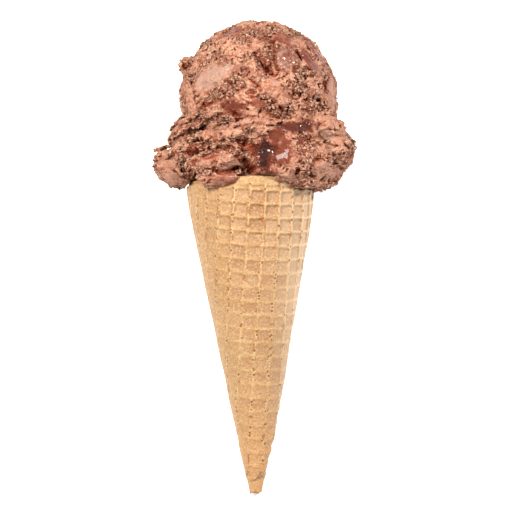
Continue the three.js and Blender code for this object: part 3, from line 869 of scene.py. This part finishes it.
def take_in(piece, node):
    """Makes a finished piece part of the model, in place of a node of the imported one."""
    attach(piece, "root")
    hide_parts(node)
    triangles = sum(len(face.vertices) - 2 for face in piece.data.polygons)
    print(f"{piece.name}: {triangles} triangles")


def draw_piece(name, lumps, low, high, fold=0.0, voxel=VOXEL, half=0):
    tree = ice_cream_tree(name, lumps, ICE_CREAM, half)
    values = {"Low corner": low, "High corner": high, "Voxel": voxel * COARSENESS, "Fold height": fold}
    values |= DRAGGED if fold else PITTED
    piece = apply_tree(name, TEAR_MESH.copy(), tree, values)
    take_in(piece, "ice_cream")
    return piece


ice_cream_pieces = [draw_piece(piece_name, **plan) for piece_name, plan in PIECES.items()]

# %% [markdown]
# ## Crumbs
#
# The scoop's edge crumbles the frozen surface, and the grains that come loose freeze on again where they
# fall. One small tree scatters them: random points on the pieces, more where they are rough and none on
# the patches, each with a small uneven grain of twenty faces. None lies so low that it would reach the
# table or the wafer, or so deep that it would be hidden between the pieces.

# %% Scatter the crumbs
CRUMBS = {
    "coarse_crumbs": {"Per square metre": 0.36e6, "Smallest": 0.00032, "Largest": 0.00062, "Seed": 7},
    "fine_crumbs": {"Per square metre": 0.36e6, "Smallest": 0.00018, "Largest": 0.00034, "Seed": 8},
}
LOWEST_CRUMB = 0.004  # above the table, in metres
RIM_CRUMB = 121.0  # lowest place along the cone's axis, in millimetres
CRUMB_UNEVENNESS = 0.0006


def random_value(tree, low, high, seed, kind="FLOAT"):
    low_key, high_key, result = (2, 3, 1) if kind == "FLOAT" else (0, 1, 0)
    values = {low_key: low, high_key: high, "Seed": seed}
    return wire(tree, "FunctionNodeRandomValue", values, result, data_type=kind)


def shown_points(strewn, place, skins):
    """The strewn points, without those whose way out of the surface meets another piece's inside."""
    away = output(strewn, "Normal")
    values = {"Target Geometry": skins, "Ray Direction": away, "Ray Length": 0.1}
    values["Source Position"] = place + away * 0.0001
    met = add_node(skins.tree, "GeometryNodeRaycast", values)
    is_inside = output(met, "Hit Normal").vector("DOT_PRODUCT", away).math("GREATER_THAN", 0.0)
    values = {"Geometry": output(strewn, "Points"), "Selection": is_inside * output(met, "Is Hit")}
    return wire(skins.tree, "GeometryNodeDeleteGeometry", values, domain="POINT")


def crumb_tree(pieces, material):
    kinds = {"Per square metre": "Float", "Smallest": "Float", "Largest": "Float", "Seed": "Int"}
    tree, given, exit_node = new_tree("crumbs", kinds)
    joining = tree.nodes.new("GeometryNodeJoinGeometry")
    for piece in pieces:
        skin = wire(tree, "GeometryNodeObjectInfo", {"Object": piece}, "Geometry")
        tree.links.new(skin.socket, joining.inputs[0])
    skins = output(joining)
    place = wire(tree, "GeometryNodeInputPosition")
    along = (place - tuple(TIP_PLACE)).vector("DOT_PRODUCT", tuple(1000 * LAY_DOWN.col[2].xyz)) * 1000.0
    smooth, fudge, rough = (attribute_value(tree, label) for label in ("smooth", "fudge", "rough"))
    clear = split(place)[2].math("GREATER_THAN", LOWEST_CRUMB) * along.math("GREATER_THAN", RIM_CRUMB)
    loose = smooth.most(fudge).least(1.0).flipped() * (rough * 0.7 + 0.3)
    values = {"Mesh": skins, "Density": given["Per square metre"] * loose * clear, "Seed": given["Seed"]}
    strewn = add_node(tree, "GeometryNodeDistributePointsOnFaces", values)
    points = shown_points(strewn, place, skins)
    chance = random_value(tree, 0.0, 1.0, 3)
    size = given["Smallest"] + (given["Largest"] - given["Smallest"]) * chance * chance
    turn = random_value(tree, (0, 0, 0), (6.3, 6.3, 6.3), 5, "FLOAT_VECTOR")
    grain = wire(tree, "GeometryNodeMeshIcoSphere", {"Radius": 1.0, "Subdivisions": 1})
    values = {"Points": points, "Instance": grain, "Rotation": turn, "Scale": size}
    grains = wire(tree, "GeometryNodeInstanceOnPoints", values)
    grains = wire(tree, "GeometryNodeRealizeInstances", (grains,))
    values = {"Geometry": grains, "Offset": wander(place * 1000.0, 0.45) * CRUMB_UNEVENNESS}
    return finished(wire(tree, "GeometryNodeSetPosition", values), material, exit_node)


crumb_nodes = crumb_tree(ice_cream_pieces, ICE_CREAM)
for kind, values in CRUMBS.items():
    values = {**values, "Per square metre": values["Per square metre"] / COARSENESS**2}
    crumbs = apply_tree(kind, bpy.data.meshes.new(kind), crumb_nodes, values)
    take_in(crumbs, "ice_cream")

# %% [markdown]
# ## The wafer: a flat sheet rolled twice round
#
# Two wraps of the sheet make the wall. The outer wrap ends in a straight cut, the seam, which stands a
# little proud of the layer under it and turns round the tip. A point of the flat sheet is known by its
# distance from the cone's apex, the slant, and by its turn round the axis. Both wraps are made as closed
# rings stacked along the slant, and each vertex remembers where it lay on the flat sheet.

# %% Roll the two wraps
LAYER = 1.05  # thickness of one layer of the sheet
LAP_STEP = 0.9  # how far the seam stands out
LAP_TURN = math.radians(130)  # the step fades away over this angle
SEAM_MISS = 7  # by how much the straight cut misses the apex
SEAM_TIP_TURN = math.radians(30)
SEAM_TIP_SLANT = 18.6
SEAM_EDGE = 0.22  # thickness of the cut's edge, seen from outside
SEAM_GROOVE, GROOVE_WIDTH = 0.3, 0.7  # the shadow gap beside the cut
PATTERN_SKEW = math.radians(5.2)
LOW_EDGE_TURN, LOW_EDGE_WIDTH, LOW_EDGE_DROP = math.radians(-75), math.radians(38), 1.5
RIM_WAVE, BOTTOM_WAVE = 0.35, 0.5  # unevenness of the two cut edges
RIM_ROUNDING, BOTTOM_ROUNDING = 0.28, 0.16
WRAP_BOTTOM, SEAM_BOTTOM, UNDER_BOTTOM = 4.9, 6.8, 3.4  # heights of the outer wrap's lower edge
LAP_HEIGHTS = (2.0, 16.0)  # the step grows between these
WRAP_COLUMNS, WRAP_ROWS = ((332, 276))
INNER_ROWS = 14  # the inside of the outer wrap is hidden, so it has few
SHORT_CRACKS = {  # turn in degrees and height of each point of a line
    "upper": [(80, 23.0), (66, 20.3), (50, 18.2)],
    "lower": [(84, 19.0), (68, 17.2)],
    "rim": [(14, 116.0), (12, 113.5)],
}
CRACK_WIDTH, CRACK_DEPTH = 0.28, 0.6


def smooth_step(value, start, end):
    share = np.clip((value - start) / (end - start), 0, 1)
    return share * share * (3 - 2 * share)


def slant_at(height):
    return (height + APEX_DEPTH) / COS_HALF


def seam_turn(slant):
    turned = np.arccos(SEAM_MISS / slant) - math.acos(SEAM_MISS / SEAM_TIP_SLANT)
    return SEAM_TIP_TURN + turned / SIN_HALF


def ring_mesh(name, rings, flat_places, outward):
    """A closed mesh through a stack of rings of points, with flat ends."""
    rows, columns, _ = rings.shape
    index = np.arange(rows * columns).reshape(rows, columns)
    following = np.roll(index, -1, axis=1)
    faces = np.stack([index[:-1], following[:-1], following[1:], index[1:]], -1).reshape(-1, 4).tolist()
    faces += [list(index[0][::-1]), list(index[-1])]
    mesh = bpy.data.meshes.new(name)
    mesh.from_pydata(rings.reshape(-1, 3).tolist(), [], faces)
    for label, values in (("flat", flat_places), ("outward", outward)):
        mesh.attributes.new(label, "FLOAT_VECTOR", "POINT").data.foreach_set("vector", values.ravel())
    return mesh


def around(turn, radius, height):
    return np.stack([radius * np.sin(turn), -radius * np.cos(turn), height], -1)


def crack_depth(turn, height):
    """How deep the short cracks cut into the outer wrap."""
    radius = cone_radius(height)
    depth = np.zeros_like(turn)
    for crack in SHORT_CRACKS.values():
        line, shares = walk(crack, 0.3)
        for (degrees, level), share in zip(line, shares):
            gap = np.hypot(radius * (turn - math.radians(degrees)), height - level)
            fade = math.sin(math.pi * min(0.97, 0.06 + share)) ** 0.5
            depth = np.maximum(depth, CRACK_DEPTH * fade * np.exp(-((gap / CRACK_WIDTH) ** 2)))
    return depth


def outward_of(turn):
    """The direction that faces straight out of the cone's side."""
    return around(turn, np.full_like(turn, COS_HALF), np.full_like(turn, -SIN_HALF))


def wrap_turns(share):
    """Turn round the axis of each column, and how far it lies before the seam, at shares of the height."""
    column = np.linspace(0, 1, WRAP_COLUMNS)[None, :]
    height = WRAP_BOTTOM + share * (CONE_LENGTH - WRAP_BOTTOM)
    before_seam = column * (2 * math.pi - SEAM_EDGE / cone_radius(height))
    return seam_turn(slant_at(height)) - before_seam, before_seam


def cut_edges(turn, before_seam):
    """Heights of the outer wrap's two cut edges, and the wave that makes them uneven."""
    after_seam = 2 * math.pi - before_seam
    bottom = WRAP_BOTTOM + (SEAM_BOTTOM - WRAP_BOTTOM) * (1 - smooth_step(before_seam, 0, 0.9))
    bottom = bottom - (WRAP_BOTTOM - UNDER_BOTTOM) * (1 - smooth_step(after_seam, 0.7, 1.6))
    wrapped = (turn - LOW_EDGE_TURN + math.pi) % (2 * math.pi) - math.pi
    top = CONE_LENGTH - LOW_EDGE_DROP * np.exp(-((wrapped / LOW_EDGE_WIDTH) ** 2))
    wave = np.array([[noise.noise(Vector((3 * math.cos(t), 3 * math.sin(t), 0))) for t in turn[-1]]])
    return bottom, top - RIM_WAVE * (0.5 + 0.5 * wave), wave


def outer_skin(share, turn, before_seam, height, bottom):
    """Radius of the outer wrap's outside, with its step, its groove, its cracks and its thinned edges."""
    lap = LAP_STEP * (1 - smooth_step(before_seam, 0, LAP_TURN)) * smooth_step(height, *LAP_HEIGHTS)
    radius = cone_radius(height) + lap
    groove = SEAM_GROOVE * np.exp(-((radius * (2 * math.pi - before_seam) / GROOVE_WIDTH) ** 2))
    thinned = BOTTOM_ROUNDING * smooth_step(height - bottom, 2.2, 0.0)
    radius = radius - groove - crack_depth(turn, height) - thinned
    return radius - RIM_ROUNDING * smooth_step(share, 1 - 1.2 / WRAP_ROWS, 1)


def inner_skin(low, high):
    """The rings of the outer wrap's inside."""
    share = np.linspace(1, 0, INNER_ROWS)[:, None]
    height = low + 0.25 + share * (high - low - 0.35)
    turn, before_seam = wrap_turns(share)
    lap = 0.5 * LAP_STEP * (1 - smooth_step(before_seam, 0, LAP_TURN))
    return around(turn, cone_radius(height) - LAYER + lap, height)


def outer_wrap_mesh():
    share = np.linspace(0, 1, WRAP_ROWS)[:, None]
    turn, before_seam = wrap_turns(share)
    bottom, top, wave = cut_edges(turn, before_seam)
    height = bottom + wave * BOTTOM_WAVE * (1 - share) + share * (top - bottom)
    outer = around(turn, outer_skin(share, turn, before_seam, height, bottom), height)
    inner = inner_skin(bottom[:1], top[-1:])
    slant = slant_at(height)
    direction = turn * SIN_HALF - PATTERN_SKEW
    flat = np.stack([slant * np.sin(direction), slant * np.cos(direction), np.ones_like(slant)], -1)
    zeros = np.zeros_like(inner)
    layers = ((outer, inner), (flat, zeros), (outward_of(turn), zeros))
    return ring_mesh("wafer_outer_wrap", *(np.concatenate(pair)[:, ::-1] for pair in layers))


STUB_BLEND = (5.5, 9.0)  # heights between which the inner wrap steps in under the outer one
STUB_COLUMNS = 96
STUB_CHIPS = 0.9  # unevenness of its broken end


def inner_wrap_mesh():
    turn = np.linspace(0, 2 * math.pi, STUB_COLUMNS, endpoint=False)[None, :]
    outer_heights = np.r_[0.0, 0.15, 0.4, np.linspace(0.8, 8, 20), np.linspace(9, 112, 40), 114, 116, 117.6]
    height = outer_heights[:, None] + 0 * turn
    under = 0.3 + (LAYER - 0.3 + 0.04) * smooth_step(height, *STUB_BLEND)
    chip = np.array([[noise.noise(Vector((1.6 * math.cos(t), 1.6 * math.sin(t), 4))) for t in turn[0]]])
    ragged = smooth_step(height, 3.0, 0.0)
    radius = cone_radius(height) - under - 0.35 * smooth_step(height, 0.4, 0.0)
    height = height + chip * STUB_CHIPS * ragged + 0.45 * ragged * (0.5 + 0.5 * np.sin(turn - 0.6))
    outer = around(turn, radius, height)
    inner_heights = np.array([117.7, 112, 80, 45, 14, 9.0])[:, None] + 0 * turn
    inner = around(turn, cone_radius(inner_heights) - WALL, inner_heights)
    slant = slant_at(height)
    flat = np.stack([turn * slant * SIN_HALF, slant, 0 * slant], -1)
    zeros = np.zeros_like(inner)
    layers = ((outer, inner), (flat, zeros), (outward_of(turn + 0 * slant), zeros))
    return ring_mesh("wafer_inner_wrap", *map(np.concatenate, layers))


print("seam at the rim, degrees:", round(math.degrees(seam_turn(slant_at(CONE_LENGTH)))))

# %% [markdown]
# ## Pressing the print into the sheet
#
# The plates press square pockets between narrow ribs. One small tree does it for both wraps: it reads
# where each vertex lay on the flat sheet, works out how far it is from the edge of its pocket, and pushes
# it in against the sheet's outward direction. The print is fainter towards the tip and at the left, where
# the plates were worn. The tree also writes down pockets, walls and ribs for the colours.

# %% Press the print
PRINT = {
    "Pitch around": 5.9,
    "Pitch along": 5.21,
    "Offset around": 0.45,
    "Offset along": 3.15,
    "Rib width": 1.05,
    "Pocket depth": 0.62,
    "Corner": 0.5,
}
PRINT_END = slant_at(CONE_LENGTH) - 3.9  # the border at the rim is plain
GRAIN_HEIGHT = 0.12  # unevenness of the baked skin
PLATE_WEAR = 1.3  # how far the lines of the print stray
END_STEEPNESS = 0.72  # of a pocket's two end walls, beside its side walls


def print_tree(material):
    tree, given, exit_node = new_tree("pressed print", dict.fromkeys(PRINT, "Float"))
    flat = attribute_value(tree, "flat", "FLOAT_VECTOR")
    across, along, _ = split(flat + wander(flat, 3.5, detail=3) * PLATE_WEAR)
    printed = split(flat)[2]
    cell_across = (across - given["Offset around"]) / given["Pitch around"]
    cell_along = (along - given["Offset along"]) / given["Pitch along"]

    def past_edge(cell, pitch, steepness):
        off_middle = (cell.math("FRACT") - 0.5).math("ABSOLUTE") * pitch
        return (off_middle - (pitch - given["Rib width"]) * 0.5) * steepness + given["Corner"]

    side = past_edge(cell_across, given["Pitch around"], 1.0)
    end = past_edge(cell_along, given["Pitch along"], END_STEEPNESS)
    side_out, end_out = side.most(0.0), end.most(0.0)
    round_corner = (side_out * side_out + end_out * end_out).math("SQRT")
    outside = round_corner + side.most(end).least(0.0) - given["Corner"]
    slant = flat.vector("LENGTH")
    place = wire(tree, "GeometryNodeInputPosition")
    at_border = (slant - PRINT_END) + (clouds(place, 6.0, detail=1) - 0.5) * 1.2
    outside = outside.most(at_border)
    pocket = outside.ramp(0.22, -0.50)
    share_across = cell_across.math("FRACT")
    # Painted shade: the walls of each pocket are marked for an orange-brown tint, most on the right-hand
    # wall, which faces away from the key lamp.
    at_right = share_across.ramp(0.55, 0.80)
    wall = outside.math("ABSOLUTE").ramp(0.42, 0.08) * (at_right * 0.75 + 0.25)
    beside_rib = (share_across - 0.5).math("ABSOLUTE").ramp(0.34, 0.42)
    numbers = (cell_across.math("FLOOR"), cell_along.math("FLOOR"), 0.0)
    cell = wire(tree, "ShaderNodeCombineXYZ", numbers)
    chance = wire(tree, "ShaderNodeTexWhiteNoise", (cell,))
    worn_tip = slant.ramp(88, 122, 0.36, 1.25)
    worn_left = (split(place)[0] / slant.most(10.0)).ramp(-0.13, 0.03, 0.5, 1.0)
    worn = worn_tip * worn_left * (chance * 0.35 + 0.78) * printed
    depth = pocket * given["Pocket depth"] * worn
    skin = (clouds(place, 1.3, detail=3, rough=0.6) - 0.5) * (2 * GRAIN_HEIGHT)
    buckle = (clouds(place, 17.0, detail=1) - 0.5) * 0.9
    outward = attribute_value(tree, "outward", "FLOAT_VECTOR")
    values = {"Geometry": given["Geometry"], "Offset": outward * (skin + buckle - depth)}
    mesh = wire(tree, "GeometryNodeSetPosition", values)
    tinted = worn_left.ramp(0.5, 1.0, 0.62, 1.0) * slant.ramp(60, 115, 0.62, 1.0) * printed
    mesh = stored(
        mesh,
        pocket=pocket * tinted,
        wall=wall * worn,
        cell_chance=chance,
        beside_rib=beside_rib * printed,
        rib_top=outside.ramp(0.08, 0.42) * at_border.ramp(0.3, -0.3) * printed,
    )
    return laid_down(mesh, material, exit_node)


print("pockets round the rim:", round(2 * math.pi * cone_radius(CONE_LENGTH) / PRINT["Pitch around"]))

# %% [markdown]
# ## Finishes: the wafer
#
# Baked batter is most golden on the ribs, which touch the plates least, and their tops are pale. The pocket
# floors are pinker and a little darker, and their walls are orange-brown with painted shade, most of all
# the wall at the right of each pocket. Light is painted in too: the ribs turn paler towards the right,
# where the key lamp stands, and the tip turns a brighter gold, while painted shade makes the left side a
# deeper orange. Tiny bubbles leave pinholes with burnt edges, mostly along the ribs, and the whole skin
# is finely speckled.

# %% The wafer's finish
RIB_GOLD = (0.356, 0.208, 0.089)
RIB_TOP = (0.534, 0.363, 0.168)
RIGHT_LIGHT_RIB = (0.62, 0.45, 0.275)
POCKET_TAN = (0.326, 0.182, 0.092)
DARK_POCKET = (0.244, 0.116, 0.050)
WALL_SHADE_ORANGE = (0.255, 0.102, 0.027)
LEFT_SHADE_ORANGE = (0.334, 0.178, 0.063)
BROWN_SPECK = (0.286, 0.121, 0.033)
PALE_SPECK = (0.483, 0.346, 0.194)
TIP_LIGHT_GOLD = (0.47, 0.238, 0.098)
BURNT = (0.27, 0.085, 0.016)


def wafer_material():
    material, tree, shader = new_material("baked wafer")
    at = wire(tree, "ShaderNodeTexCoord", key="Object") * 1000.0
    labels = ("pocket", "wall", "cell_chance", "beside_rib", "rib_top")
    pocket, wall, chance, beside_rib, rib_top = (vertex_value(tree, label) for label in labels)
    across, along, _ = split(at)
    patchy = clouds(at, 9.0, detail=2)
    tan = (pocket * 1.2 + (patchy - 0.5) * 0.9).ramp(0.05, 0.95)
    body = mixed(tan, RIB_GOLD, POCKET_TAN)
    body = mixed(pocket * chance.ramp(0.45, 1.0, 0.0, 0.75), body, DARK_POCKET)
    # Painted shade: a deeper, darker orange towards the left side, away from the key lamp, broken up by
    # noise.
    left_shade = (across * -0.045 + (patchy - 0.5) * 2.0).ramp(0.2, 1.2, 0.0, 0.7)
    body = mixed(left_shade, body, LEFT_SHADE_ORANGE)
    baked_pale = clouds(at, 5.0, detail=3).ramp(0.42, 0.60, 0.0, 0.5) * along.ramp(-80, -45, 0.3, 1.0)
    body = mixed(rib_top * baked_pale, body, RIB_TOP)
    # Painted light: the tip, which lies in shade, is given a brighter, warmer gold.
    body = mixed(along.ramp(-40, -80, 0.0, 0.6), body, TIP_LIGHT_GOLD)
    # Painted shade on the pocket walls.
    body = mixed((wall * 1.1).least(0.95), body, WALL_SHADE_ORANGE)
    speck = clouds(at, 0.75, detail=2, rough=0.7)
    body = mixed(speck.ramp(0.50, 0.68, 0.0, 0.62), body, BROWN_SPECK)
    body = mixed(speck.ramp(0.50, 0.32, 0.0, 0.55), body, PALE_SPECK)
    from_hole = cells(at, 1.6)
    rare = clouds(at + (3.0, 1.0, 7.0), 4.0, detail=2).ramp(0.40, 0.48)
    strewn = rare * (beside_rib * 0.9 + 0.1) * pocket.ramp(0.9, 0.3)
    body = mixed(from_hole.ramp(0.52, 0.40) * strewn * 0.6, body, PALE_SPECK)
    split_rib = clouds(at * (1.0, 0.4, 1.0) + (4.0, 2.0, 8.0), 1.3, detail=2).ramp(0.55, 0.62) * beside_rib
    some = clouds(at + (7.0, 9.0, 2.0), 11.0, detail=1).ramp(0.52, 0.60)
    burnt = (from_hole.ramp(0.37, 0.23) * strewn).most(split_rib * some * 0.75)
    # Painted light: the ribs, and the pockets less, turn paler towards the right, the key lamp's side.
    pale = across.ramp(2, 20, 0.0, 0.75) * pocket.flipped().most(0.55) * (wall * 0.5).least(0.5).flipped()
    body = mixed(pale, body, RIGHT_LIGHT_RIB)
    body = mixed(burnt, body, BURNT)
    height = speck * 0.6 + clouds(at, 0.4, detail=1) * 0.35 - burnt * 1.5
    relief = {"Height": height, "Distance": 0.0004, "Strength": 0.8}
    values = {"Base Color": body, "Roughness": 0.55, "Specular IOR Level": 0.3}
    set_inputs(shader, {**values, "Normal": wire(tree, "ShaderNodeBump", relief)})
    return material


WAFER = wafer_material()
print("finish:", WAFER.name)

# %% [markdown]
# ## Two wraps, one print
#
# The inner wrap is the end of the sheet that went in first, and shows only at the broken tip and inside
# the mouth. It takes the same finish without pockets. Both lie on the table along the underside.

# %% Make the two wraps


LEAST_HEIGHT = 0.00003  # above the table, in metres


def keep_off_table(piece):
    """Lifts what noise has pushed under the table top back on to it."""
    count = len(piece.data.vertices)
    places = np.empty(3 * count)
    piece.data.vertices.foreach_get("co", places)
    places[2::3] = np.maximum(places[2::3], LEAST_HEIGHT)
    piece.data.vertices.foreach_set("co", places)
    piece.data.update()


def make_wrap(name, mesh, printed_depth):
    values = {**PRINT, "Pocket depth": printed_depth}
    piece = apply_tree(name, mesh, print_tree(WAFER), values)
    keep_off_table(piece)
    take_in(piece, "wafer_cone")


make_wrap("wafer_outer_wrap", outer_wrap_mesh(), PRINT["Pocket depth"])
make_wrap("wafer_inner_wrap", inner_wrap_mesh(), 0.0)

# %% [markdown]
# ## The plug in the mouth of the cone
#
# The first of the ice cream is pressed a little way down into the cone. It fills the mouth behind the
# collar, so nobody who looks in past the rim sees into a hollow.

# %% Fill the mouth
PLUG_HEIGHTS = (103.0, 120.8)
PLUG_CLEAR = 0.35  # between the plug and the wafer
PLUG_ROWS, PLUG_COLUMNS = 26, 72


def plug_mesh():
    share = np.linspace(0.004, 0.996, PLUG_ROWS)[:, None]
    turn = np.linspace(0, 2 * math.pi, PLUG_COLUMNS, endpoint=False)[None, :]
    height = np.interp(share, (0, 1), PLUG_HEIGHTS) + 0 * turn
    room = cone_radius(np.minimum(height, CONE_LENGTH)) - WALL - PLUG_CLEAR
    rounding = np.sqrt(1 - np.clip(np.abs(2 * share - 1) * 2.5 - 1.5, 0, 0.999) ** 2)
    rings = around(turn, room * rounding, height)
    zeros = np.zeros_like(rings)
    mesh = ring_mesh("plug", rings, zeros, zeros)
    mesh.transform(LAY_DOWN)
    mesh.materials.append(ICE_CREAM)
    return mesh


plug = bpy.data.objects.new("plug", plug_mesh())
scene.collection.objects.link(plug)
take_in(plug, "ice_cream")
